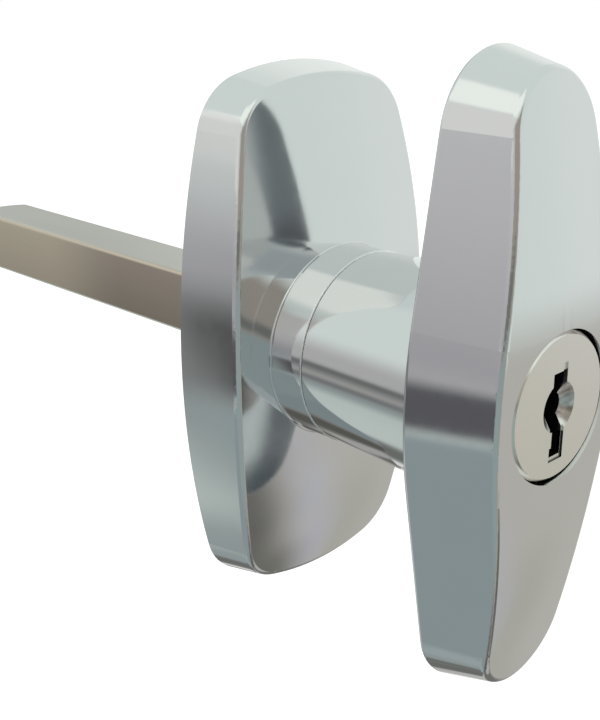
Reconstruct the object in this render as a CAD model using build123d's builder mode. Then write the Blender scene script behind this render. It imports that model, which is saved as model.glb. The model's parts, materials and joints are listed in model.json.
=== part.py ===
from build123d import *
from math import asin, atan2, cos, degrees, hypot, radians, sin, sqrt, tan
import os

# T-handle lock for a cabinet or hatch door, all sizes in millimetres.
# The turning axis lies along Y. The origin is on that axis, in the plate's mounting face.
# The user stands on the -Y side, the square spindle points to +Y, and the grip stands along Z.
# Places along the axis are distances out of the mounting face, towards the user.

# Escutcheon plate
plate_height = 62.1
plate_depth = 8.9
plate_side_radius = 97.0
plate_end_radius = 36.0
plate_corner_radius = 7.4
plate_draft = 10.0
plate_bow_tall = 139.0
plate_bow_wide = 100.0
plate_edge_radius = 0.8
plate_rim = 2.4
plate_pocket_depth = 3.0
boss_wall = 1.9

# Fixing bosses with M5 threads, drilled to the thread's core
fixing_core_radius = 2.1
fixing_depth = 5.2
fixing_wall = 2.5
fixing_margin = 0.85

# Perimeter seal in the plate's pocket
seal_width = 2.2
seal_gap = 0.05
seal_neck = 1.15

# Turned shank of the handle and the collar it turns in
shank_wall = 2.15
running_gap = 0.05
small_gap = 0.02
sleeve_wall = 1.25
collar_step = 0.8
collar_sink = 0.68
collar_height = 4.73
collar_edge = 0.12
collar_lip = 0.2
collar_lip_height = 0.32
seam_gap = 0.05

# Neck and grip
neck_step = 0.1
neck_flare = 0.77
neck_length = 15.4
neck_edge = 0.1
grip_depth = 10.41
grip_height = 69.9
grip_end_radius = 8.75
grip_wall = 1.9
grip_waist_radius = 50.0
grip_draft = 14.2
grip_bow_tall = 154.0
grip_bow_wide = 90.0
grip_front_edge = 0.9
grip_back_edge = 0.4

# Square spindle, the tail of the shank that carries it and the pin across them
spindle_size = 8.0
spindle_edge = 0.5
spindle_reach = 63.1
spindle_tip = 1.7
spindle_clearance = 0.05
socket_depth = 3.2
tail_wall = 1.84
tail_end = 6.5
spindle_pin_radius = 1.5
spindle_pin_wall = 0.6
spindle_pin_place = 3.5

# Washers and ring that hold the handle in the plate
recess_depth = 3.3
recess_margin = 2.4
wear_washer_thickness = 0.8
circlip_thickness = 1.0
circlip_start = 0.4
circlip_bite = 0.7
circlip_stand = 1.4
circlip_opening = 34.0
circlip_hole_radius = 0.5
circlip_hole_turn = 8.0
lip_end = 0.6
spring_washer_thickness = 0.4
spring_washer_margin = 2.0

# Ring seal in the shank
ring_groove_depth = 1.2
ring_groove_width = 1.6
ring_groove_setback = 3.05

# Stop that limits the handle to a quarter turn
handle_turn = 90.0
stop_pin_radius = 1.25
stop_pin_inset = 0.1
channel_step = 0.1
stop_pin_end = 7.0
stop_play = 1.0

# Lock barrel in the grip and the screw that holds it
face_setback = 0.44
face_thickness = 0.5
face_chamfer = 0.4
face_gap = 0.16
barrel_radius = 8.1
barrel_wall = 1.7
barrel_setback = 1.77
barrel_flange = 1.2
barrel_screw_radius = 1.5
barrel_screw_inset = 7.0
barrel_screw_dimple = 0.5
hexagon_radius = 0.85
hexagon_depth = 1.7

# Plug, keyway and wafers
plug_tail_radius = 4.6
keyway_depth = 17.0
keyway_mouth = 0.18
keyhole_radius = 2.73
keyhole_bore = 1.4
keyhole_depth = 3.5
keyhole_half_angle = 55.0
wafer_count = 5
wafer_thickness = 1.0
wafer_pitch = 2.8
wafer_setback = 4.57
wafer_half_width = 3.0
wafer_lift = 0.75
wafer_gap = 0.05
groove_gap = 0.15
lug_reach = 1.3
lug_height = 1.0
pocket_below = 3.6
pocket_above = 1.4
wafer_spring_radius = 0.5
wafer_spring_bore = 0.3

# Cam, bolt and the parts that carry them
clip_thickness = 0.7
clip_radius = 6.3
clip_groove_radius = 3.8
clip_mouth = 6.8
drive_square = 4.4
cam_rim = 0.55
cam_gap = 0.15
cam_hub = 1.75
cam_track_depth = 1.6
cam_standoff = 0.3
screw_radius = 1.25
screw_length = 7.0
screw_head_radius = 2.4
screw_head_height = 1.2
screw_head_gap = 1.3
screw_slot_width = 0.5
screw_slot_length = 2.8
screw_slot_depth = 0.7
bolt_width = 5.0
bolt_thickness = 3.0
bolt_seat = 0.9
bolt_foot = 2.6
bolt_travel = 1.8
bolt_edge = 0.3
bolt_gap = 0.05
notch_gap = 0.15
notch_end_gap = 0.3
peg_radius = 0.8
peg_depth = 2.2
peg_screw_gap = 0.3
peg_track_gap = 0.15
key_turn = 90.0

# The lock's works inside the shank, from the axis outwards
track_half = peg_radius + peg_track_gap
peg_start = screw_head_radius + peg_screw_gap + peg_radius
cam_radius = peg_start + bolt_travel + track_half + cam_rim
chamber_radius = cam_radius + cam_gap

# The tail, with the stop pin that runs beside it, and the shank that is large enough for both
tail_radius = spindle_size / sqrt(2) + tail_wall
stop_channel_radius = tail_radius + channel_step
stop_pin_place = stop_channel_radius + notch_gap + stop_pin_radius
shank_radius = max(chamber_radius + shank_wall, stop_pin_place + stop_pin_inset)

# Radii that follow from the shank
sleeve_bore = shank_radius + running_gap
sleeve_radius = sleeve_bore + sleeve_wall
collar_radius = sleeve_radius + collar_step
lip_radius = collar_radius + collar_lip
neck_radius = collar_radius - neck_step
neck_radius_grip = neck_radius + neck_flare
recess_radius = shank_radius + recess_margin
boss_radius = recess_radius + boss_wall
circlip_radius = shank_radius + circlip_stand
circlip_groove_radius = shank_radius - circlip_bite
ring_groove_radius = shank_radius - ring_groove_depth
bolt_top = sqrt(shank_radius**2 - (bolt_width / 2) ** 2) - bolt_gap
notch_top = bolt_top + bolt_travel + notch_end_gap

# The plate's width and its fixings, which leave room for the boss and the seal
plate_width = 2 * (boss_radius + seal_neck + plate_rim)
fixing_boss_radius = fixing_core_radius + fixing_wall
fixing_edge = plate_rim + seal_width + fixing_margin + fixing_boss_radius
fixing_spacing = plate_height - 2 * fixing_edge

# Radii that follow from the barrel, and the grip's half width at its waist
plug_radius = barrel_radius - barrel_wall
face_radius = barrel_radius - face_gap
groove_radius = plug_radius + wafer_lift + groove_gap
grip_waist = barrel_radius + running_gap + grip_wall + grip_depth * tan(radians(grip_draft))

# Places along the axis of the bolt, the cam and the barrel, from the recess towards the user
bolt_back = recess_depth + bolt_seat
bolt_front = bolt_back + bolt_thickness
cam_back = bolt_front + screw_head_gap + screw_head_height
track_front = cam_back + cam_track_depth
drive_back = track_front + small_gap
peg_tip = track_front - peg_track_gap
cam_front = track_front + cam_hub
clip_back = cam_front + cam_standoff
clip_front = clip_back + clip_thickness
barrel_back = clip_front + small_gap
plug_back = barrel_back + barrel_flange + running_gap
barrel_screw_place = barrel_back + barrel_screw_inset

# Places along the axis of the collar, the grip and the lock's face
collar_foot = plate_depth - collar_sink
seam = collar_foot + collar_height
grip_back = seam + seam_gap + neck_length
grip_front = grip_back + grip_depth
face_out = grip_front - face_setback
head_back = face_out - face_thickness
barrel_front = face_out - barrel_setback
ring_groove_start = seam - ring_groove_setback
ring_groove_end = ring_groove_start + ring_groove_width
wear_washer_back = recess_depth - wear_washer_thickness
wafer_places = [face_out - wafer_setback - number * wafer_pitch for number in range(wafer_count)]

# Keyway steps, seen from the front: left, right, low and high edges
mouth_slot = (-1.27, 1.12, -5.75, 3.8)
mouth_notch = (0.34, 1.12, 3.0, 4.65)
keyway_upper = (-1.1, 1.12, 2.2, 3.8)
keyway_middle = (-1.1, 0.88, -2.6, 2.3)
keyway_lower = (-0.68, 0.88, -4.4, -2.5)
keyway_foot = (-1.1, 0.88, -5.3, -4.35)
wafer_window = (-1.35, 1.2, -4.7, 3.3)


def out(distance):
    """Plane square to the axis, at a distance out of the mounting face, with Z upwards."""
    return Plane.XZ.offset(distance)


def disc(radius, hole, start, end):
    """Adds a plain ring, or a disc where the hole is zero, to the part being built."""
    with BuildSketch(out(start)) as ring:
        Circle(radius)
        if hole > 0:
            Circle(hole, mode=Mode.SUBTRACT)
    extrude(ring.sketch, amount=end - start)


def bore(radius, start, end):
    """Cuts a round hole along the axis out of the part being built."""
    with BuildSketch(out(start)) as hole:
        Circle(radius)
    extrude(hole.sketch, amount=end - start, mode=Mode.SUBTRACT)


def slot_cut(edges, start, end):
    """Cuts a square-cornered slot, given by its left, right, low and high edges."""
    left, right, low, high = edges
    with BuildSketch(out(start)) as slot:
        with Locations(((left + right) / 2, (low + high) / 2)):
            Rectangle(right - left, high - low)
    extrude(slot.sketch, amount=end - start, mode=Mode.SUBTRACT)


def turned(points, mode=Mode.ADD):
    """Turns a profile of (radius, distance out) points about the axis."""
    with BuildSketch(Plane.XY) as profile:
        with BuildLine():
            Polyline([(radius, -distance) for radius, distance in points], close=True)
        make_face()
    revolve(profile.sketch, axis=Axis.Y, mode=mode)


def notch_cut():
    """Cuts the two notches that the bolt locks into, above the axis and to its right."""
    with BuildSketch(out(bolt_back - notch_gap)) as notches:
        for turn in (90, 0):
            with PolarLocations(notch_top / 2, 1, turn):
                Rectangle(notch_top, bolt_width + 2 * notch_gap)
    extrude(notches.sketch, amount=bolt_thickness + 2 * notch_gap, mode=Mode.SUBTRACT)


def stop_pin_shape(mode):
    """Adds or cuts the stop pin's cylinder."""
    with BuildSketch(out(recess_depth)) as section:
        with Locations((0, -stop_pin_place)):
            Circle(stop_pin_radius)
    extrude(section.sketch, amount=stop_pin_end - recess_depth, mode=mode)


def cross_pin_shape(radius, length, mode):
    """Adds or cuts a cylinder along X, where the pin crosses the tail and the spindle."""
    with Locations(Plane.YZ):
        with Locations((spindle_pin_place, 0)):
            Cylinder(radius, length, mode=mode)


def barrel_screw_shape(start, end, mode):
    """Adds or cuts the barrel screw's cylinder, which points down from the axis."""
    with BuildSketch(Plane.XY.offset(-start)) as section:
        with Locations((0, -barrel_screw_place)):
            Circle(barrel_screw_radius)
    extrude(section.sketch, amount=start - end, mode=mode)


def peg_shape(end, mode):
    """Adds or cuts the peg's cylinder, from inside the bolt to a place along the axis."""
    with BuildSketch(out(bolt_front - peg_depth)) as section:
        with Locations((0, peg_start)):
            Circle(peg_radius)
    extrude(section.sketch, amount=end - bolt_front + peg_depth, mode=mode)


def keyway_cut():
    """Cuts the stepped keyway, with the dish and the round hole that lead the key in."""
    for step in (keyway_upper, keyway_middle, keyway_lower, keyway_foot):
        slot_cut(step, face_out - keyway_depth, face_out)
    depth = keyhole_radius / tan(radians(keyhole_half_angle))
    turned([(0, face_out), (keyhole_radius, face_out), (0, face_out - depth)], mode=Mode.SUBTRACT)
    bore(keyhole_bore, face_out - keyhole_depth, face_out)


def plate_outline(inset):
    """The plate's outline of four long arcs with rounded corners, drawn in by the inset."""
    half_width = plate_width / 2 - inset
    half_height = plate_height / 2 - inset
    side = plate_side_radius - inset
    end = plate_end_radius - inset
    side_centre = side - half_width
    end_centre = half_height - end
    between = hypot(side_centre, end_centre)
    along = (between**2 + side**2 - end**2) / (2 * between)
    across = sqrt(side**2 - along**2)
    corner_x = ((along - between) * side_centre - across * end_centre) / between
    corner_z = (along * end_centre + across * side_centre) / between
    with BuildSketch() as shape:
        with BuildLine():
            ThreePointArc((corner_x, -corner_z), (half_width, 0), (corner_x, corner_z))
            ThreePointArc((corner_x, corner_z), (0, half_height), (-corner_x, corner_z))
            ThreePointArc((-corner_x, corner_z), (-half_width, 0), (-corner_x, -corner_z))
            ThreePointArc((-corner_x, -corner_z), (0, -half_height), (corner_x, -corner_z))
        make_face()
        fillet(shape.vertices(), plate_corner_radius - inset)
    return shape.sketch


def grip_outline():
    """The grip's outline: tapering sides, round ends and a long curve at the waist."""
    end_centre = grip_height / 2 - grip_end_radius
    waist_reach = grip_waist_radius - grip_waist
    lean = asin((grip_waist_radius - grip_end_radius) / hypot(end_centre, waist_reach))
    lean -= atan2(waist_reach, end_centre)
    waist_top = grip_waist_radius * sin(lean)
    waist_x = grip_waist_radius * cos(lean) - waist_reach
    cap_x = grip_end_radius * cos(lean)
    cap_z = end_centre + grip_end_radius * sin(lean)
    with BuildSketch() as shape:
        with BuildLine():
            ThreePointArc((waist_x, -waist_top), (grip_waist, 0), (waist_x, waist_top))
            Line((waist_x, waist_top), (cap_x, cap_z))
            ThreePointArc((cap_x, cap_z), (0, grip_height / 2), (-cap_x, cap_z))
            Line((-cap_x, cap_z), (-waist_x, waist_top))
            ThreePointArc((-waist_x, waist_top), (-grip_waist, 0), (-waist_x, -waist_top))
            Line((-waist_x, -waist_top), (-cap_x, -cap_z))
            ThreePointArc((-cap_x, -cap_z), (0, -grip_height / 2), (cap_x, -cap_z))
            Line((cap_x, -cap_z), (waist_x, -waist_top))
        make_face()
    return shape.sketch


def bowed_block(front, bow_tall, bow_wide, half_width):
    """A block whose front bows both ways, which shapes the fronts of the plate and the grip."""
    side_drop = bow_wide - sqrt(bow_wide**2 - half_width**2)
    with BuildPart() as block:
        with BuildSketch(Plane.XY):
            with BuildLine():
                ThreePointArc((-half_width, side_drop - front), (0, -front), (half_width, side_drop - front))
                Line((half_width, side_drop - front), (half_width, half_width))
                Line((half_width, half_width), (-half_width, half_width))
                Line((-half_width, half_width), (-half_width, side_drop - front))
            make_face()
        revolve(axis=Axis((0, bow_tall - front, 0), (1, 0, 0)))
    return block.part


def write(builder, name):
    """Labels a finished piece and writes it out."""
    builder.part.label = name
    export_step(builder.part, f"parts/{name}.step")


os.makedirs("parts", exist_ok=True)

# Escutcheon plate, a hollow casting with a bowed front
plate_block = bowed_block(plate_depth, plate_bow_tall, plate_bow_wide, plate_width)

with BuildPart() as plate:
    with BuildSketch(out(0)):
        add(plate_outline(0))
    extrude(amount=plate_depth + plate_edge_radius, taper=plate_draft)
    add(plate_block, mode=Mode.INTERSECT)
    fillet(plate.faces().sort_by(Axis.Y)[0].edges(), plate_edge_radius)
    with BuildSketch(out(0)):
        add(plate_outline(plate_rim))
        Circle(boss_radius, mode=Mode.SUBTRACT)
        with GridLocations(0, fixing_spacing, 1, 2):
            Circle(fixing_boss_radius, mode=Mode.SUBTRACT)
    extrude(amount=plate_pocket_depth, mode=Mode.SUBTRACT)
    with BuildSketch(out(0)):
        with GridLocations(0, fixing_spacing, 1, 2):
            Circle(fixing_core_radius)
    extrude(amount=fixing_depth, mode=Mode.SUBTRACT)
    bore(recess_radius, 0, recess_depth)
    bore(sleeve_radius, 0, seam)
    bore(lip_radius, collar_foot, seam)
    notch_cut()
write(plate, "plate")

# Seal that lies in the pocket, against the rim
with BuildPart() as perimeter_seal:
    with BuildSketch(out(0)):
        add(plate_outline(plate_rim + seal_gap))
        add(plate_outline(plate_rim + seal_width), mode=Mode.SUBTRACT)
        Circle(boss_radius + seal_gap, mode=Mode.SUBTRACT)
    extrude(amount=plate_pocket_depth)
write(perimeter_seal, "perimeter_seal")

# Collar that stands on the plate with a small lip, and the bearing sleeve below it
with BuildPart() as collar:
    turned([
        (sleeve_bore, recess_depth),
        (sleeve_radius, recess_depth),
        (sleeve_radius, collar_foot),
        (lip_radius, collar_foot),
        (lip_radius, collar_foot + collar_lip_height),
        (collar_radius, collar_foot + collar_lip_height),
        (collar_radius, seam),
        (sleeve_bore, seam),
    ])
    for rim in collar.edges().filter_by(GeomType.CIRCLE).group_by(SortBy.RADIUS)[-2:]:
        fillet(rim.sort_by(Axis.Y)[0], collar_edge)
    notch_cut()
    stop_pin_shape(Mode.SUBTRACT)
write(collar, "collar")

# Stop pin, half in the sleeve and half in the shank's channel
with BuildPart() as stop_pin:
    stop_pin_shape(Mode.ADD)
write(stop_pin, "stop_pin")

# Wear washer in the plate's recess
with BuildPart() as wear_washer:
    disc(recess_radius - 2 * running_gap, shank_radius + 2 * running_gap, wear_washer_back, recess_depth)
write(wear_washer, "wear_washer")

# T-grip, one casting with its neck and turned shank
grip_block = bowed_block(grip_front, grip_bow_tall, grip_bow_wide, grip_height / 3)
socket_half = spindle_size / 2 + spindle_clearance
window_half = bolt_width / 2 + bolt_gap
stop_half_angle = degrees(asin(stop_pin_radius / stop_pin_place)) + stop_play
stop_start = -90 - stop_half_angle
stop_sweep = handle_turn + 2 * stop_half_angle
stop_ends = (radians(stop_start), radians(stop_start + stop_sweep))
stop_outer = shank_radius + neck_step

with BuildPart() as grip:
    with BuildSketch(out(grip_back)):
        add(grip_outline())
    extrude(amount=grip_depth + grip_front_edge, taper=grip_draft)
    add(grip_block, mode=Mode.INTERSECT)
    fillet(grip.faces().sort_by(Axis.Y)[0].edges(), grip_front_edge)
    fillet(grip.faces().sort_by(Axis.Y)[-1].edges(), grip_back_edge)
    turned([
        (0, -tail_end),
        (tail_radius, -tail_end),
        (tail_radius, -lip_end),
        (shank_radius, -lip_end),
        (shank_radius, circlip_start - running_gap),
        (circlip_groove_radius, circlip_start - running_gap),
        (circlip_groove_radius, circlip_start + circlip_thickness + running_gap),
        (shank_radius, circlip_start + circlip_thickness + running_gap),
        (shank_radius, ring_groove_start),
        (ring_groove_radius, ring_groove_start),
        (ring_groove_radius, ring_groove_end),
        (shank_radius, ring_groove_end),
        (shank_radius, seam + seam_gap),
        (neck_radius - neck_edge, seam + seam_gap),
        (neck_radius, seam + seam_gap + neck_edge),
        (neck_radius_grip, grip_back),
        (neck_radius_grip, grip_back + grip_back_edge),
        (0, grip_back + grip_back_edge),
    ])
    bore(barrel_radius + running_gap, barrel_back, grip_front)
    bore(chamber_radius, bolt_front + bolt_gap, barrel_back)
    slot_cut((-window_half, window_half, -bolt_foot - notch_gap, sleeve_radius),
             bolt_back - bolt_gap, bolt_front + bolt_gap)
    slot_cut((-socket_half, socket_half, -socket_half, socket_half), -tail_end, socket_depth)
    with BuildSketch(out(-lip_end)):
        with BuildLine():
            CenterArc((0, 0), stop_channel_radius, stop_start, stop_sweep)
            CenterArc((0, 0), stop_outer, stop_start, stop_sweep)
            for angle in stop_ends:
                Line((stop_channel_radius * cos(angle), stop_channel_radius * sin(angle)),
                     (stop_outer * cos(angle), stop_outer * sin(angle)))
        make_face()
    extrude(amount=lip_end + stop_pin_end + notch_gap, mode=Mode.SUBTRACT)
    cross_pin_shape(spindle_pin_radius, 2 * shank_radius, Mode.SUBTRACT)
    barrel_screw_shape(0, 2 * neck_radius_grip, Mode.SUBTRACT)
write(grip, "t_grip")

# Ring seal in the shank's groove
ring_section = (ring_groove_depth + small_gap) / 2
with BuildPart() as ring_seal:
    with BuildSketch(Plane.XY):
        with Locations((ring_groove_radius + ring_section, -(ring_groove_start + ring_groove_end) / 2)):
            Circle(ring_section)
    revolve(axis=Axis.Y)
write(ring_seal, "neck_ring_seal")

# Square spindle, trimmed by the cone that turns down its tip
spindle_front = socket_depth - spindle_clearance
cone_radius = spindle_size / sqrt(2) + spindle_clearance
with BuildPart() as turned_bar:
    turned([
        (0, socket_depth),
        (cone_radius, socket_depth),
        (cone_radius, spindle_tip - spindle_reach),
        (cone_radius - spindle_tip, -spindle_reach),
        (0, -spindle_reach),
    ])

with BuildPart() as spindle:
    with BuildSketch(out(spindle_front)):
        RectangleRounded(spindle_size, spindle_size, spindle_edge)
    extrude(amount=-spindle_front - spindle_reach)
    add(turned_bar.part, mode=Mode.INTERSECT)
    cross_pin_shape(spindle_pin_radius, 2 * spindle_size, Mode.SUBTRACT)
write(spindle, "square_spindle")

# Hollow pin across the tail and the spindle
spindle_pin_length = 2 * tail_radius - 2 * notch_end_gap
with BuildPart() as spindle_pin:
    cross_pin_shape(spindle_pin_radius, spindle_pin_length, Mode.ADD)
    cross_pin_shape(spindle_pin_radius - spindle_pin_wall, spindle_pin_length, Mode.SUBTRACT)
write(spindle_pin, "spindle_pin")

# Open ring in the shank's groove, with its two holes for pliers
circlip_bore = circlip_groove_radius + running_gap
opening_half = circlip_radius * sin(radians(circlip_opening / 2))
with BuildPart() as circlip:
    with BuildSketch(out(circlip_start)):
        Circle(circlip_radius)
        Circle(circlip_bore, mode=Mode.SUBTRACT)
        with Locations((0, circlip_radius)):
            Rectangle(2 * opening_half, circlip_radius, mode=Mode.SUBTRACT)
        for side in (-1, 1):
            turn = 90 + side * (circlip_opening / 2 + circlip_hole_turn)
            with PolarLocations((circlip_radius + circlip_bore) / 2, 1, turn):
                Circle(circlip_hole_radius, mode=Mode.SUBTRACT)
    extrude(amount=circlip_thickness)
write(circlip, "circlip")

# Coned washer that takes up the end play
washer_bore = shank_radius + 2 * running_gap
washer_radius = shank_radius + spring_washer_margin
washer_low = circlip_start + circlip_thickness + small_gap
washer_high = wear_washer_back - small_gap
with BuildPart() as spring_washer:
    turned([
        (washer_bore, washer_low),
        (washer_radius, washer_high - spring_washer_thickness),
        (washer_radius, washer_high),
        (washer_bore, washer_low + spring_washer_thickness),
    ])
write(spring_washer, "spring_washer")

# Barrel that holds the plug, broached for the wafers in four directions
broach_width = 2 * (wafer_half_width + groove_gap)
with BuildPart() as barrel:
    disc(barrel_radius, plug_tail_radius + running_gap, barrel_back, barrel_front)
    with BuildSketch(out(barrel_back + barrel_flange)):
        Rectangle(2 * groove_radius, broach_width)
        Rectangle(broach_width, 2 * groove_radius)
        Circle(groove_radius, mode=Mode.INTERSECT)
        Circle(plug_radius + running_gap)
    extrude(amount=barrel_front, mode=Mode.SUBTRACT)
    barrel_screw_shape(barrel_radius - barrel_screw_dimple, barrel_radius, Mode.SUBTRACT)
write(barrel, "lock_barrel")

# Grub screw that holds the barrel, with its socket for a hexagon key
screw_end = neck_radius - neck_edge
with BuildPart() as barrel_screw:
    barrel_screw_shape(barrel_radius - barrel_screw_dimple, screw_end, Mode.ADD)
    with BuildSketch(Plane.XY.offset(-screw_end)):
        with Locations((0, -barrel_screw_place)):
            RegularPolygon(hexagon_radius, 6)
    extrude(amount=hexagon_depth, mode=Mode.SUBTRACT)
write(barrel_screw, "barrel_screw")


def wafer_way(number):
    """Wafers rise and drop by turns: 1 for one that rises, -1 for one that drops."""
    return 1 if number % 2 == 0 else -1


def wafer_slots(number, place):
    """Cuts the plug's slot for one wafer, with the pocket for its lug and spring."""
    way = wafer_way(number)
    slot_half = wafer_half_width + wafer_gap
    start = place - wafer_thickness / 2 - wafer_gap
    end = place + wafer_thickness / 2 + wafer_gap
    low, high = sorted((-way * pocket_below, way * pocket_above))
    near, far = sorted((0, way * (slot_half + lug_reach)))
    slot_cut((-slot_half, slot_half, -barrel_radius, barrel_radius), start, end)
    slot_cut((near, far, low, high), start, end)


# Plug with its tail, square drive and keyway
with BuildPart() as plug:
    disc(face_radius - small_gap, 0, barrel_front + small_gap, head_back)
    disc(plug_radius, 0, plug_back, barrel_front + small_gap)
    disc(plug_tail_radius, 0, clip_front + small_gap, plug_back)
    disc(clip_groove_radius, 0, clip_back - small_gap, clip_front + small_gap)
    disc(plug_tail_radius, 0, cam_front + small_gap, clip_back - small_gap)
    with BuildSketch(out(drive_back)):
        Rectangle(drive_square, drive_square)
    extrude(amount=cam_front + small_gap - drive_back)
    keyway_cut()
    for number, place in enumerate(wafer_places):
        wafer_slots(number, place)
    bore(screw_radius, drive_back, drive_back + screw_length)
write(plug, "plug")

# Face of the plug, a cap with a shallow step round the keyway
with BuildPart() as plug_face:
    disc(face_radius, 0, head_back, face_out)
    chamfer(plug_face.faces().sort_by(Axis.Y)[0].edges(), face_chamfer)
    slot_cut(mouth_slot, face_out - keyway_mouth, face_out)
    slot_cut(mouth_notch, face_out - keyway_mouth, face_out)
    keyway_cut()
write(plug_face, "plug_face")

# Wafers at the shear line, as the key holds them, each with a spring at its lug
for number, place in enumerate(wafer_places):
    way = wafer_way(number)
    with BuildPart() as wafer:
        with BuildSketch(out(place - wafer_thickness / 2)):
            Rectangle(2 * wafer_half_width, 2 * plug_radius)
            Circle(plug_radius - wafer_gap, mode=Mode.INTERSECT)
            with Locations((way * (wafer_half_width + lug_reach / 2), 0)):
                Rectangle(lug_reach, lug_height)
        extrude(amount=wafer_thickness)
        slot_cut(wafer_window, place - wafer_thickness, place + wafer_thickness)
    write(wafer, f"wafer_{number + 1}")
    spring_start = lug_height / 2 + wafer_gap
    with BuildPart() as wafer_spring:
        with BuildSketch(Plane.XY.offset(-way * spring_start)):
            with Locations((way * (wafer_half_width + lug_reach / 2 + wafer_gap), -place)):
                Circle(wafer_spring_radius)
                Circle(wafer_spring_bore, mode=Mode.SUBTRACT)
        extrude(amount=-way * (pocket_below - wafer_gap - spring_start))
    write(wafer_spring, f"wafer_spring_{number + 1}")

# Open clip that keeps the plug in the barrel
with BuildPart() as plug_clip:
    with BuildSketch(out(clip_back)):
        Circle(clip_radius)
        Circle(clip_groove_radius + small_gap, mode=Mode.SUBTRACT)
        with Locations((0, clip_radius)):
            Rectangle(clip_mouth, 2 * clip_radius, mode=Mode.SUBTRACT)
    extrude(amount=clip_thickness)
write(plug_clip, "plug_clip")

# Cam disc whose spiral track lifts the bolt in step with the key
def track_point(share, side):
    """A point of the track's spiral at a share of the key's turn, to one side of its middle."""
    reach = peg_start + bolt_travel * share + side * track_half
    angle = radians(90 + key_turn * share)
    return (reach * cos(angle), reach * sin(angle))


def track_end(share, way):
    """The tip of the track's round end, half a width on from its middle."""
    middle_x, middle_z = track_point(share, 0)
    angle = radians(90 + key_turn * share)
    return (middle_x - way * track_half * sin(angle), middle_z + way * track_half * cos(angle))


with BuildPart() as bolt_cam:
    disc(cam_radius, screw_radius + running_gap, cam_back, cam_front)
    with BuildSketch(out(cam_back)):
        with BuildLine():
            ThreePointArc(track_point(0, 1), track_point(0.5, 1), track_point(1, 1))
            ThreePointArc(track_point(1, 1), track_end(1, 1), track_point(1, -1))
            ThreePointArc(track_point(1, -1), track_point(0.5, -1), track_point(0, -1))
            ThreePointArc(track_point(0, -1), track_end(0, -1), track_point(0, 1))
        make_face()
    extrude(amount=cam_track_depth, mode=Mode.SUBTRACT)
    with BuildSketch(out(track_front)):
        Rectangle(drive_square + 2 * small_gap, drive_square + 2 * small_gap)
    extrude(amount=cam_hub, mode=Mode.SUBTRACT)
write(bolt_cam, "bolt_cam")

# Screw that holds the cam on the plug's square
with BuildPart() as cam_screw:
    disc(screw_head_radius, 0, cam_back - screw_head_height, cam_back)
    disc(screw_radius, 0, cam_back, drive_back + screw_length - notch_end_gap)
    for turn in (0, 90):
        with BuildSketch(out(cam_back - screw_head_height)):
            Rectangle(screw_slot_width, screw_slot_length, rotation=turn)
        extrude(amount=screw_slot_depth, mode=Mode.SUBTRACT)
write(cam_screw, "cam_screw")

# Bolt that slides across the shank, and the peg that follows the cam's track
with BuildPart() as lock_bolt:
    with BuildSketch(out(bolt_back)):
        with Locations((0, (bolt_top - bolt_foot) / 2)):
            Rectangle(bolt_width, bolt_top + bolt_foot)
    extrude(amount=bolt_thickness)
    fillet(lock_bolt.edges().filter_by(Axis.Y), bolt_edge)
    peg_shape(bolt_front, Mode.SUBTRACT)
write(lock_bolt, "lock_bolt")

with BuildPart() as bolt_peg:
    peg_shape(peg_tip, Mode.ADD)
write(bolt_peg, "bolt_peg")
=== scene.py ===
# %% [markdown]
# # A chromed T-handle lock
#
# The lock is a die-cast escutcheon plate, a T-grip that turns in it, a keyed lock in the grip and a
# square spindle behind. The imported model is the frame: every piece in it has its real size and place,
# in metres, and nothing here moves it. What this file adds is how the lock looks, which is mostly
# what its metal mirrors.

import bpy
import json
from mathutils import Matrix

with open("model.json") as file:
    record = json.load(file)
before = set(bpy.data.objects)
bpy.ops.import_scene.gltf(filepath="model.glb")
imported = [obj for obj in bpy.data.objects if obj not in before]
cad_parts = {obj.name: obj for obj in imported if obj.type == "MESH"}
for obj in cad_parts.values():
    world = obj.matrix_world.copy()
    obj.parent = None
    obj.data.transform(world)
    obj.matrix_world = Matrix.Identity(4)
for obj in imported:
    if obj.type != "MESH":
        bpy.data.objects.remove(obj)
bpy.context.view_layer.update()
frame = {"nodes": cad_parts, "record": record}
print("nodes in the frame:", len(frame["nodes"]))

# %% What the rest of the file uses
import json
from math import pi, radians

import bmesh
import bpy
from mathutils import Vector

MM = 0.001
scene = bpy.context.scene
nodes = frame["nodes"]

# %% [markdown]
# ## The camera
#
# Chrome shows what stands around it, so the camera comes before any finish: a different place mirrors
# a different part of the studio. It stands in front of the lock, to its left and a little above, and
# looks down at it. A long lens keeps the two long faces nearly parallel, as they are on a product
# photograph. Azimuth is measured from straight ahead, along +Y, and elevation from level.

# %% Place the camera
VIEW_FROM = Vector((-99.09, -100.17, 46.64)) * MM
VIEW_AZIMUTH = radians(-45.22)
VIEW_ELEVATION = radians(20.07)
LENS_MM = 61.43

camera_data = bpy.data.cameras.new("camera")
camera_data.lens = LENS_MM
camera_data.sensor_width = 36.0
camera_data.clip_start = 1 * MM
camera_data.clip_end = 20.0
camera = bpy.data.objects.new("camera", camera_data)
camera.location = VIEW_FROM
camera.rotation_euler = (pi / 2 - VIEW_ELEVATION, 0, VIEW_AZIMUTH)
scene.collection.objects.link(camera)
scene.camera = camera
scene.view_settings.view_transform = "Standard"
print("camera distance from the axis, mm:", round(VIEW_FROM.length / MM, 1))

# %% [markdown]
# ## Writing shaders as sums
#
# A finish is a sum of masks and noises, and as a node tree it is hard to read. So a socket is wrapped
# in a small class whose operators add the Math node that they stand for, and `1 - mask` is then the
# node itself. Any other node comes from `Board.node`, which takes its type, its settings and what
# goes into its sockets.


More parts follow.
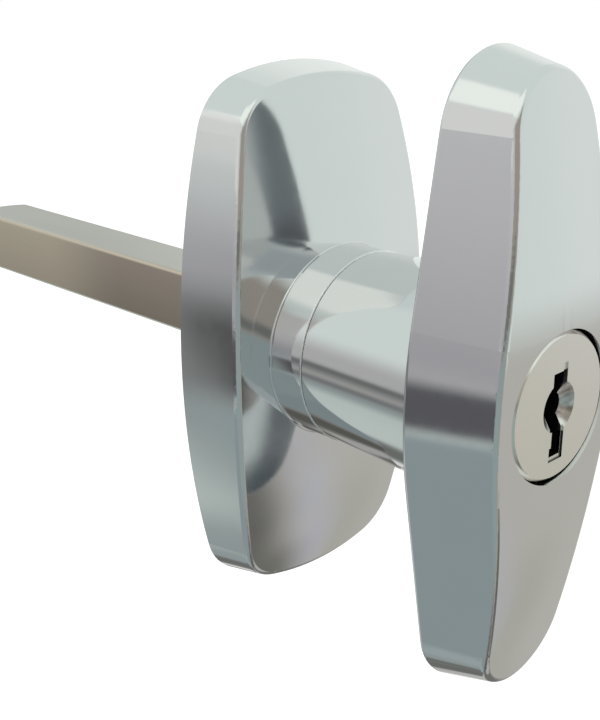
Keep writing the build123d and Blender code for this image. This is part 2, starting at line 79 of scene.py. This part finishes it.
# %% A socket that does arithmetic
class Wire:
    """An output socket on a board. Arithmetic with it adds Math nodes, or Vector Math for a vector."""

    def __init__(self, board, socket):
        self.board = board
        self.socket = socket

    def sum(self, operation, first, second):
        kind = "ShaderNodeVectorMath" if self.socket.type == "VECTOR" else "ShaderNodeMath"
        return self.board.node(kind, {"operation": operation}, {0: first, 1: second})

    def __add__(self, other):
        return self.sum("ADD", self, other)

    def __radd__(self, other):
        return self.sum("ADD", other, self)

    def __sub__(self, other):
        return self.sum("SUBTRACT", self, other)

    def __rsub__(self, other):
        return self.sum("SUBTRACT", other, self)

    def __mul__(self, other):
        return self.sum("MULTIPLY", self, other)

    def __rmul__(self, other):
        return self.sum("MULTIPLY", other, self)


# %% A board of nodes
NOISE_LOW = 0.3
NOISE_HIGH = 0.7


class Board:
    """The node tree of a material or of the world."""

    def __init__(self, owner):
        owner.use_nodes = True
        self.owner = owner
        self.tree = owner.node_tree
        self.tree.nodes.clear()

    def node(self, kind, settings=None, sockets=None, output=0):
        """Adds a node: its settings first, then values or wires for its sockets, by number or name."""
        made = self.tree.nodes.new(kind)
        for key, value in (settings or {}).items():
            setattr(made, key, value)
        for key, value in (sockets or {}).items():
            if isinstance(value, Wire):
                self.tree.links.new(value.socket, made.inputs[key])
            else:
                made.inputs[key].default_value = value
        return Wire(self, made.outputs[output]) if made.outputs else made

    def mix(self, factor, first, second):
        """A colour between two others."""
        return self.node("ShaderNodeMix", {"data_type": "RGBA"}, {0: factor, 6: first, 7: second}, 2)

    def place(self):
        """The point's place in the frame, in metres."""
        return self.node("ShaderNodeTexCoord", output=3)

    def parts(self, vector):
        """A vector's X, Y and Z."""
        first = self.node("ShaderNodeSeparateXYZ", None, {0: vector})
        outputs = first.socket.node.outputs
        return [Wire(self, outputs[number]) for number in range(3)]

    def noise(self, place, scale, detail=2.0, roughness=0.5):
        """Soft noise from 0 to 1, with a scale in cells for each metre."""
        return self.node("ShaderNodeTexNoise", None,
                         {"Vector": place, "Scale": scale, "Detail": detail, "Roughness": roughness})

    def between(self, value, low, high, first=0.0, second=1.0, kind="SMOOTHSTEP"):
        """A value mapped from low and high to first and second, and held at both ends."""
        ends = {"From Min": low, "From Max": high, "To Min": first, "To Max": second}
        return self.node("ShaderNodeMapRange", {"interpolation_type": kind}, {"Value": value, **ends})

    def rough(self, noise, low, high):
        """A roughness between two values that follows a noise, whose values keep near its middle."""
        return self.between(noise, NOISE_LOW, NOISE_HIGH, low, high)

    def angle(self, up, along):
        """The angle of a direction, in radians, from how far it goes up and along."""
        return self.node("ShaderNodeMath", {"operation": "ARCTAN2"}, {0: up, 1: along})


print("shader tools ready")

# %% [markdown]
# ## The studio
#
# A photographer of chrome builds the room around it, because a mirror has no look of its own. Lamps
# alone would give it hard spots on black. So the world is the room: a wide scrim all round, and on it
# one card for each thing that stands or lies there. Their places and colours were set one by one,
# guided by measuring how bright the chrome of the product photograph is in each direction.
#
# A bearing is measured as the lock's face looks out: 0 is straight in front of it, -90 to its left
# and 90 to its right, and 180 is behind. Height runs from -90, straight down, to 90, straight up.
#
# - The fronts of the plate and the grip look right of the camera, where the scrim comes down to a warm
#   floor, so they are bright above and dim to a brown grey below.
# - The sides look to the left: a bright reflector stands high, below it is a wall with a step, then the
#   black gap where the wall ends, and a cool floor.
# - The rounded edges and the neck sweep over all of it, and each card becomes a thin line on them.
# - Behind the lock hangs a dark cloth. It is what makes the grip's back dark where the plate mirrors it.
#
# The camera itself sees plain white, as on a cut-out product picture.

# %% The cards of the room
SCRIM = (0.71, 0.79, 0.76)
CARDS = [
    # what it is, bearings, heights, softness across and upward, colour
    ("reflector high on the left", (-124, 2), (40, 69), 5, 4, (0.98, 1.04, 0.98)),
    ("lower lip of the reflector", (-128.5, -112), (31, 47), 3, 4, (1.12, 1.16, 1.10)),
    ("glow of the right wall", (74, 150), (-20, 34), 14, 12, (0.87, 0.92, 0.89)),
    ("wall on the right", (50, 90), (-17, 20), 12, 10, (0.77, 0.83, 0.81)),
    ("warm floor on the right", (-2, 112), (-90, -14), 12, 3, (0.51, 0.50, 0.46)),
    ("far floor on the right", (20, 130), (-90, -50), 12, 9, (0.18, 0.18, 0.17)),
    ("dim part of the warm floor", (57, 70), (-50, -34), 6, 4, (0.46, 0.46, 0.41)),
    ("strip of cool light, near end", (38, 45), (-36, -28), 5, 3, (0.49, 0.49, 0.51)),
    ("strip of cool light, middle", (45, 52), (-41, -33), 5, 4, (0.51, 0.52, 0.56)),
    ("strip of cool light, far end", (51, 59), (-47, -38), 5, 4, (0.50, 0.50, 0.54)),
    ("unlit floor right of the camera", (18, 43), (-52, -38), 9, 4, (0.11, 0.11, 0.10)),
    ("far edge of the unlit floor", (24, 53), (-52, -43.5), 7, 3, (0.17, 0.17, 0.15)),
    ("near edge of the unlit floor", (18, 38), (-46, -34), 6, 4, (0.15, 0.15, 0.14)),
    ("lamp on the floor", (26, 52), (-72, -50), 5, 3, (0.48, 0.48, 0.47)),
    ("wall on the left", (-128, -66), (10, 40), 9, 1, (0.76, 0.77, 0.75)),
    ("wall left of the camera", (-69, -50), (-10, 29), 8, 3, (0.58, 0.58, 0.56)),
    ("wall in the left corner", (-150, -118), (-14, 8), 6, 9, (0.47, 0.47, 0.47)),
    ("step of the left wall", (-117, -60), (-14, 9.5), 7, 1, (0.55, 0.55, 0.56)),
    ("foot of the left wall", (-124, -50), (-14, 1), 8, 7, (0.40, 0.40, 0.42)),
    ("dark room by the camera", (-52, 12), (-90, 33), 7, 4, (0.36, 0.34, 0.30)),
    ("line of the dark room", (-52, -8), (-4, 4), 8, 3, (0.18, 0.19, 0.18)),
    ("cool floor on the left", (-190, -14), (-90, -27), 8, 2, (0.28, 0.34, 0.35)),
    ("cool floor by the camera", (-60, 4), (-47, -6), 8, 3, (0.31, 0.38, 0.38)),
    ("cool floor in the left corner", (-190, -114), (-90, -21), 6, 2, (0.32, 0.37, 0.37)),
    ("near floor on the left", (-128, -78), (-90, -57), 8, 3, (0.36, 0.42, 0.43)),
    ("lit floor in the left corner", (-190, -126), (-44, -30), 5, 4, (0.53, 0.60, 0.57)),
    ("lit floor behind, far side", (-190, -141), (-52, -38), 5, 4, (0.55, 0.62, 0.59)),
    ("gap in the left corner", (-200, -110), (-25, -8.5), 6, 3, (0.25, 0.26, 0.26)),
    ("gap under the left wall", (-112, -58), (-26, -13.5), 6, 2, (0.11, 0.11, 0.12)),
    ("left end of the gap", (-119.5, -109), (-25.5, -12), 1.5, 3, (0.10, 0.10, 0.10)),
    ("upper line of the corner", (-150, -128), (-13.5, -9.5), 5, 1.5, (0.17, 0.17, 0.17)),
    ("rod of light in the corner", (-147, -128), (-19.5, -16), 6, 1.5, (0.35, 0.35, 0.34)),
    ("lower line of the corner", (-150, -128), (-23.5, -20.5), 5, 1.2, (0.20, 0.21, 0.21)),
    ("shade straight below", (-200, -150), (-90, -64), 8, 5, (0.17, 0.18, 0.17)),
    ("sweep behind", (152, 200), (-44, 46), 8, 7, (0.49, 0.56, 0.57)),
    ("sweep behind, far side", (-200, -170), (22, 46), 8, 7, (0.49, 0.56, 0.57)),
    ("unlit floor behind", (142, 200), (-90, -47.5), 8, 3, (0.16, 0.17, 0.16)),
    ("unlit floor behind, far side", (-200, -172), (-90, -47.5), 6, 3, (0.19, 0.20, 0.19)),
    ("shade at the feet of the camera", (-12, 21), (-90, -50), 8, 5, (0.13, 0.13, 0.12)),
    ("bright foot of the sweep", (138, 153), (-49.5, -43), 4, 2, (0.80, 0.77, 0.76)),
    ("lamp on the floor behind", (126, 155), (-62, -49), 6, 3, (0.50, 0.48, 0.47)),
    ("lit floor far to the right", (92, 125), (-44, -24), 6, 4, (0.76, 0.76, 0.71)),
    ("cloth behind", (141, 151), (-14, 23), 2.5, 3, (0.18, 0.21, 0.22)),
    ("top of the cloth", (141.5, 148), (8, 19), 2, 4, (0.12, 0.14, 0.15)),
    ("lower half of the cloth", (140, 148.5), (-42, -9), 2, 2, (0.17, 0.19, 0.20)),
    ("fold of the cloth", (140, 149), (-15, -4), 2, 2, (0.09, 0.10, 0.11)),
    ("foot of the cloth", (141, 151.5), (-39, -33), 2, 2, (0.08, 0.10, 0.11)),
]
print("cards:", len(CARDS))


# %% Build the room that the metal mirrors
def strip(board, value, first, last, softness):
    """One between two values and nought outside, with soft edges."""
    rise = board.between(value, first - softness, first + softness)
    return rise * board.between(value, last - softness, last + softness, 1.0, 0.0)


DEGREES = 180 / pi
WHITE = (1.0, 1.0, 1.0, 1.0)

world = bpy.data.worlds.new("studio")
scene.world = world
room = Board(world)
right, forward, upward = room.parts(room.node("ShaderNodeTexCoord"))
bearing = room.angle(right, 0 - forward) * DEGREES
height = room.node("ShaderNodeMath", {"operation": "ARCSINE"}, {0: upward}) * DEGREES
mirrored = (*SCRIM, 1.0)
for name, bearings, heights, across, along, colour in CARDS:
    share = strip(room, bearing, *bearings, across) * strip(room, height, *heights, along)
    mirrored = room.mix(share, mirrored, (*colour, 1.0))
seen_by_camera = room.node("ShaderNodeLightPath")
studio_colour = room.mix(seen_by_camera, mirrored, WHITE)
background = room.node("ShaderNodeBackground", None, {"Color": studio_colour, "Strength": 1.0})
room.node("ShaderNodeOutputWorld", None, {"Surface": background})
print("nodes of the room:", len(room.tree.nodes))

# %% [markdown]
# ## The floor
#
# The lock hangs clear of everything, so a pale floor lies well below it and takes its soft shadow. The
# metal doesn't mirror it, because the room above already holds the floor that the chrome sees. To read
# as white paper it is lifted for the camera's own rays alone. A lamp strong enough to do that would
# light the lock from below as well.

# %% Lay the floor
FLOOR_BELOW = 0.25
FLOOR_RADIUS = 4.0
FLOOR_SIDES = 64
FLOOR_LIFT = 0.50
PAPER_GRAIN = 40.0
PAPER_DARK = (0.88, 0.82, 0.84, 1.0)
PAPER_PALE = (0.91, 0.85, 0.87, 1.0)
BLACK = (0.0, 0.0, 0.0, 1.0)

floor_mesh = bpy.data.meshes.new("floor")
shape = bmesh.new()
bmesh.ops.create_circle(shape, cap_ends=True, radius=FLOOR_RADIUS, segments=FLOOR_SIDES)
shape.to_mesh(floor_mesh)
shape.free()
floor = bpy.data.objects.new("floor", floor_mesh)
floor.location = (0, 0, -FLOOR_BELOW)
scene.collection.objects.link(floor)
floor.visible_glossy = False
paper = Board(bpy.data.materials.new("floor_paper"))
grain = paper.noise(paper.place(), PAPER_GRAIN)
tone = paper.mix(grain, PAPER_DARK, PAPER_PALE)
matt = paper.node("ShaderNodeBsdfDiffuse", None, {"Color": tone})
lift = paper.node("ShaderNodeEmission", None, {"Color": WHITE, "Strength": FLOOR_LIFT})
nothing = paper.node("ShaderNodeEmission", None, {"Color": BLACK, "Strength": 0.0})
seen = paper.node("ShaderNodeLightPath")
for_camera = paper.node("ShaderNodeMixShader", None, {0: seen, 1: nothing, 2: lift})
lit = paper.node("ShaderNodeAddShader", None, {0: matt, 1: for_camera})
paper.node("ShaderNodeOutputMaterial", None, {"Surface": lit})
floor_mesh.materials.append(paper.owner)
print("floor at", -FLOOR_BELOW, "m")

# %% [markdown]
# ## Chrome
#
# Chrome plate takes nearly all of its looks from the room, and its own part is small: a slightly cool
# grey, a polish that isn't a perfect mirror, so that what is far away blurs more than what is near,
# and the faint unevenness of a buffed casting under the plating.
#
# The neck and the collar are turned before they are plated, so they mirror more sharply than the cast
# faces do. Two places need more. The buff rounds both rims of the seam between the collar and the
# neck, and leaves them brushed; the seam is also painted near white, a painted highlight that lightens
# that dark thread a little. And the wall of the bore for the lock is made dull and painted dark at the
# upper right and at the bottom, as painted shade.


# %% A finish from its channels
def finish(name, channels):
    """A principled material whose sockets take the values or wires that the channels function gives."""
    board = Board(bpy.data.materials.new(name))
    shader = board.node("ShaderNodeBsdfPrincipled", None, channels(board))
    board.node("ShaderNodeOutputMaterial", None, {"Surface": shader})
    return board.owner


def bump(board, height, distance, strength=1.0):
    """A normal that leans with the slope of a height."""
    return board.node("ShaderNodeBump", None,
                      {"Height": height, "Distance": distance, "Strength": strength})


def from_axis(board, x, z):
    """The distance from the lock's own axis, in metres."""
    flat = board.node("ShaderNodeCombineXYZ", None, {0: x, 2: z})
    return board.node("ShaderNodeVectorMath", {"operation": "LENGTH"}, {0: flat}, 1)


def facing(board):
    """The normal's X, Y and Z in the piece's own frame."""
    return board.parts(board.node("ShaderNodeTexCoord", output=1))


# %% Walls that face across the axis
SIDEWAYS = 0.5
SIDEWAYS_FADE = 0.1


def sideways(board):
    """One on a wall that faces across the lock's axis, and nought on fronts and backs."""
    return strip(board, facing(board)[1], -SIDEWAYS, SIDEWAYS, SIDEWAYS_FADE)


# %% Chrome plate
PLATING_DARK = (0.78, 0.78, 0.782, 1.0)
PLATING_PALE = (0.805, 0.803, 0.806, 1.0)
POLISHED = (0.07, 0.10)
CASTING_WAVE = 2e-6
SEAM_FRONT = -13.06 * MM
SEAM_BACK = -12.88 * MM
SEAM_FADE = 0.02 * MM
# The seam's near-white colour is a painted highlight.
SEAM_HIGHLIGHT_COLOUR = (0.98, 0.98, 0.98, 1.0)
SEAM_BRUSHED = 0.4
NECK_RADIUS = 12.6 * MM
NECK_FRONT = -24.0 * MM
NECK_POLISH = 0.035
BORE_RADIUS = 8.35 * MM
BORE_FRONT = -38.1 * MM
# The bore's near-black colour is painted shade.
BORE_SHADE_COLOUR = (0.03, 0.03, 0.03, 1.0)
BORE_DULL = 0.35
SHADE_SECTOR_ABOVE = (radians(8), radians(75))
SHADE_SECTOR_BELOW = (radians(-112), radians(-80))
SHADE_SECTOR_FADE = radians(9)
MASK_EDGE = 0.1 * MM


def chrome_channels(board):
    place = board.place()
    x, y, z = board.parts(place)
    clouds = board.noise(place, 140.0, 3.0)
    polish = board.noise(place, 900.0, 2.0)
    seam = strip(board, y, SEAM_FRONT, SEAM_BACK, SEAM_FADE)
    inside = board.between(from_axis(board, x, z), BORE_RADIUS - MASK_EDGE, BORE_RADIUS, 1.0, 0.0)
    around = board.angle(z, x)
    shaded_sectors = strip(board, around, *SHADE_SECTOR_ABOVE, SHADE_SECTOR_FADE) + strip(board, around, *SHADE_SECTOR_BELOW, SHADE_SECTOR_FADE)
    deep = board.between(y, BORE_FRONT - MASK_EDGE, BORE_FRONT + MASK_EDGE)
    # Painted shade: the bore's wall is painted dark at the upper right and at the bottom.
    bore = sideways(board) * inside * shaded_sectors * deep
    # Painted highlight: the seam band between the collar and the neck is painted near white.
    plating_with_seam_highlight = board.mix(seam, board.mix(clouds, PLATING_DARK, PLATING_PALE), SEAM_HIGHLIGHT_COLOUR)
    turned = board.between(from_axis(board, x, z), NECK_RADIUS, NECK_RADIUS + MM, 1.0, 0.0)
    turned = turned * board.between(y, NECK_FRONT - 2 * MM, NECK_FRONT)
    mirror = board.rough(polish * 0.5 + clouds * 0.5, *POLISHED) - turned * NECK_POLISH
    return {
        "Base Color": board.mix(bore, plating_with_seam_highlight, BORE_SHADE_COLOUR),
        "Metallic": 1.0,
        "Roughness": mirror + seam * SEAM_BRUSHED + bore * BORE_DULL,
        "Normal": bump(board, clouds, CASTING_WAVE),
    }


chrome = finish("chrome_plate", chrome_channels)
print("made", chrome.name)

# %% [markdown]
# ## The spindle
#
# The bar is cold drawn and zinc plated, then left as it comes: a satin without any scratch that the
# eye can find, a little warm, and duller than chrome. Its colour is painted shade and light: it is
# painted darker toward the plate, where the bright room is hidden by the plate itself, lighter toward
# the far end, which picks up more of the warm floor, and lighter on its top and its rounded edges as
# painted highlights. These tones lie on the bar's own flats, so they stand in for shade and highlights
# and look the same from every side.


# %% Satin steel of the spindle
HALF_BAR = 4 * MM
# Painted shade and light: colours of the bar near the plate, at the tip, on its top and on its edges.
SHADED_NEAR_PLATE = ((0.47, 0.38, 0.31, 1.0), (0.68, 0.56, 0.475, 1.0))
LIT_NEAR_TIP = ((0.82, 0.70, 0.56, 1.0), (0.99, 0.86, 0.69, 1.0))
LIT_UPPER_FLAT = ((0.68, 0.645, 0.60, 1.0), (0.81, 0.755, 0.71, 1.0))
LOWER_EDGE_HIGHLIGHT = (1.0, 0.95, 0.88, 1.0)
UPPER_EDGE_PAINTED_LIGHT = (0.78, 0.65, 0.54, 1.0)
ZINC = (0.60, 0.57, 0.52, 1.0)
ZINC_SHARE = 0.15
DRAWN_LINES = 4000.0
DRAWN_LENGTH = 30.0


def spindle_channels(board):
    x, y, z = board.parts(board.place())
    drawn = {0: x * DRAWN_LINES, 1: y * DRAWN_LENGTH, 2: z * DRAWN_LINES}
    lines = board.noise(board.node("ShaderNodeCombineXYZ", None, drawn), 1.0, 2.0)
    up = facing(board)[2]
    # Painted shade and light: darker near the plate and low down, lighter to the tip and top, bright
    # edges.
    high = board.between(z, -HALF_BAR, HALF_BAR, 0.0, 1.0, "LINEAR")
    plate_end = board.mix(high, *SHADED_NEAR_PLATE)
    tip_end = board.mix(high, *LIT_NEAR_TIP)
    side = board.mix(board.between(y, 27 * MM, 46 * MM), plate_end, tip_end)
    under = board.mix(strip(board, up, -0.85, -0.2, 0.1), side, LOWER_EDGE_HIGHLIGHT)
    edge = board.mix(strip(board, up, 0.15, 0.85, 0.08), under, UPPER_EDGE_PAINTED_LIGHT)
    above = board.mix(board.between(y, 10 * MM, 55 * MM, 0.0, 1.0, "LINEAR"), *LIT_UPPER_FLAT)
    colour = board.mix(board.between(up, 0.85, 0.97), edge, above)
    return {
        "Base Color": board.mix(lines * ZINC_SHARE, colour, ZINC),
        "Metallic": 1.0,
        "Roughness": board.rough(lines, 0.42, 0.46),
        "Normal": bump(board, lines, 2e-7),
    }


spindle_steel = finish("drawn_steel", spindle_channels)

# %% [markdown]
# ## The face of the lock
#
# The cap of the plug is satin nickel: bead blasted, so it shows no picture of the room but only its
# mean light, and its colour is painted a little lighter toward its upper right, as painted light. The
# dish round the keyhole is turned after that and is bright.
#
# The cap's rim is turned too, so it is a little sharper than the face. The dish runs on into the
# plug behind the cap, and everything deeper in the keyway is painted black as shade, as black as the
# inside of a lock is, and so are the walls of the slot's lower half, which get no light. The barrel's
# front edge, seen in the ring round the cap, is painted as dark, as shade.

# %% The bright dish
DISH_RADIUS = 2.72 * MM
DISH_BACK = -36.5 * MM
DISH_SLOPE = (-0.93, -0.55)
DISH_STREAKS = ((0.40, 0.38, 0.36, 1.0), (0.98, 0.92, 0.88, 1.0))


def dish_parts(board, place):
    """A mask of the dish, and its colour, in streaks that run from the rim to the middle."""
    x, y, z = board.parts(place)
    cone = strip(board, facing(board)[1], *DISH_SLOPE, 0.04)
    dish = cone * board.between(from_axis(board, x, z), DISH_RADIUS, DISH_RADIUS + 0.05 * MM, 1.0, 0.0)
    dish = dish * board.between(y, DISH_BACK - 0.3 * MM, DISH_BACK, 1.0, 0.0)
    turned = board.node("ShaderNodeCombineXYZ", None, {0: board.angle(z, x) * 1.5, 1: y * 600.0})
    streaks = board.between(board.noise(turned, 1.5, 3.0), 0.30, 0.66)
    return dish, board.mix(streaks, *DISH_STREAKS)


# %% Satin nickel and the dark plug
RIM_RADIUS = 7.35 * MM
RIM_WIDTH = 0.35 * MM
SLOT_SHADE = -2.8 * MM
SLOT_DARK = (0.02, 0.02, 0.02, 1.0)
# The blasted nickel runs from a shaded tone to a lit one: painted light.
BLASTED_SHADED_TO_LIT = ((0.94, 0.92, 0.84, 1.0), (0.98, 0.94, 0.92, 1.0))
BLAST_GRAIN = (0.88, 0.86, 0.81, 1.0)
# The plug's near-black colour is painted shade for the inside of the keyway.
PLUG_SHADE_BLACK = ((0.003, 0.003, 0.003, 1.0), (0.006, 0.006, 0.006, 1.0))


def nickel_channels(board):
    place = board.place()
    grain = board.noise(place, 9000.0, 2.0)
    dish, bright = dish_parts(board, place)
    x, y, z = board.parts(place)
    # Painted light: the blasted face is painted lighter toward its upper right.
    high = board.between(x + z, -8 * MM, 8 * MM, 0.0, 1.0, "LINEAR")
    satin = board.mix(grain * 0.5, board.mix(high, *BLASTED_SHADED_TO_LIT), BLAST_GRAIN)
    around = from_axis(board, x, z)
    rim = board.between(around, RIM_RADIUS, RIM_RADIUS + RIM_WIDTH)
    slot = sideways(board) * board.between(around, RIM_RADIUS - MM, RIM_RADIUS, 1.0, 0.0)
    shade = slot * board.between(z, SLOT_SHADE - 0.2 * MM, SLOT_SHADE, 1.0, 0.0)
    return {
        "Base Color": board.mix(dish, board.mix(shade, satin, SLOT_DARK), bright),
        "Metallic": 1.0,
        "Roughness": board.rough(grain, 0.30, 0.36) - dish * 0.14 - rim * 0.12,
        "Normal": bump(board, grain, 1e-6),
    }


def plug_channels(board):
    # Painted shade: outside the dish the plug is painted nearly black, as the keyway's shade.
    place = board.place()
    grain = board.noise(place, 3000.0, 3.0)
    dish, bright = dish_parts(board, place)
    return {
        "Base Color": board.mix(dish, board.mix(grain, *PLUG_SHADE_BLACK), bright),
        "Metallic": dish,
        "Roughness": board.rough(grain, 0.50, 0.60) - dish * 0.32,
        "Specular IOR Level": 0.1,
        "Normal": bump(board, grain, 2e-6),
    }


satin_nickel = finish("satin_nickel", nickel_channels)
plug_metal = finish("plug_painted_shade_black", plug_channels)
print("made", satin_nickel.name, "and", plug_metal.name)


# %% Metals and soft materials of the rest
def metal(name, dark, light, rough, scale=3000.0):
    """A plain machined metal with a fine grain in its colour and its polish."""
    def channels(board):
        grain = board.noise(board.place(), scale, 3.0)
        return {
            "Base Color": board.mix(grain, (*dark, 1.0), (*light, 1.0)),
            "Metallic": 1.0,
            "Roughness": board.rough(grain, rough, rough + 0.1),
            "Normal": bump(board, grain, 2e-6),
        }
    return finish(name, channels)


def soft(name, dark, light, rough, scale=1500.0):
    """A moulded plastic or rubber with a fine mottle."""
    def channels(board):
        grain = board.noise(board.place(), scale, 3.0)
        return {
            "Base Color": board.mix(grain, (*dark, 1.0), (*light, 1.0)),
            "Roughness": board.rough(grain, rough, rough + 0.12),
            "Normal": bump(board, grain, 4e-6),
        }
    return finish(name, channels)


BARREL_EDGE = (-36.0 * MM, -35.0 * MM)
BARREL_BRASS = ((0.68, 0.50, 0.24, 1.0), (0.76, 0.60, 0.31, 1.0))
# The barrel's near-black front edge is painted shade.
BARREL_FRONT_SHADE = (0.015, 0.014, 0.012, 1.0)


def barrel_channels(board):
    place = board.place()
    grain = board.noise(place, 3000.0, 3.0)
    # Painted shade: the barrel's front edge, seen in the ring round the cap, is painted nearly black.
    shaded_front_edge = board.between(board.parts(place)[1], *BARREL_EDGE, 1.0, 0.0)
    return {
        "Base Color": board.mix(shaded_front_edge, board.mix(grain, *BARREL_BRASS), BARREL_FRONT_SHADE),
        "Metallic": 1.0,
        "Roughness": board.rough(grain, 0.25, 0.35) + shaded_front_edge * 0.2,
        "Normal": bump(board, grain, 2e-6),
    }


finishes = {
    "chrome": chrome,
    "spindle_steel": spindle_steel,
    "face_nickel": satin_nickel,
    "plug_metal": plug_metal,
    "steel": metal("zinc_plated_steel", (0.46, 0.47, 0.48), (0.56, 0.57, 0.57), 0.30),
    "spring_steel": metal("oiled_spring_steel", (0.20, 0.21, 0.22), (0.28, 0.29, 0.30), 0.28),
    "brass": finish("machined_brass", barrel_channels),
    "wafer_brass": metal("oiled_brass", (0.34, 0.25, 0.12), (0.44, 0.33, 0.17), 0.34),
    "acetal": soft("white_acetal", (0.70, 0.69, 0.65), (0.76, 0.75, 0.71), 0.42),
    "seal_rubber": soft("seal_rubber", (0.018, 0.018, 0.020), (0.034, 0.034, 0.037), 0.62),
}
slots = {part["node"]: part["material_slot"] for part in frame["record"]["subparts"]}
for name, node in nodes.items():
    for place in node.material_slots:
        place.material = finishes[slots[name]]
print("finishes:", len(finishes))
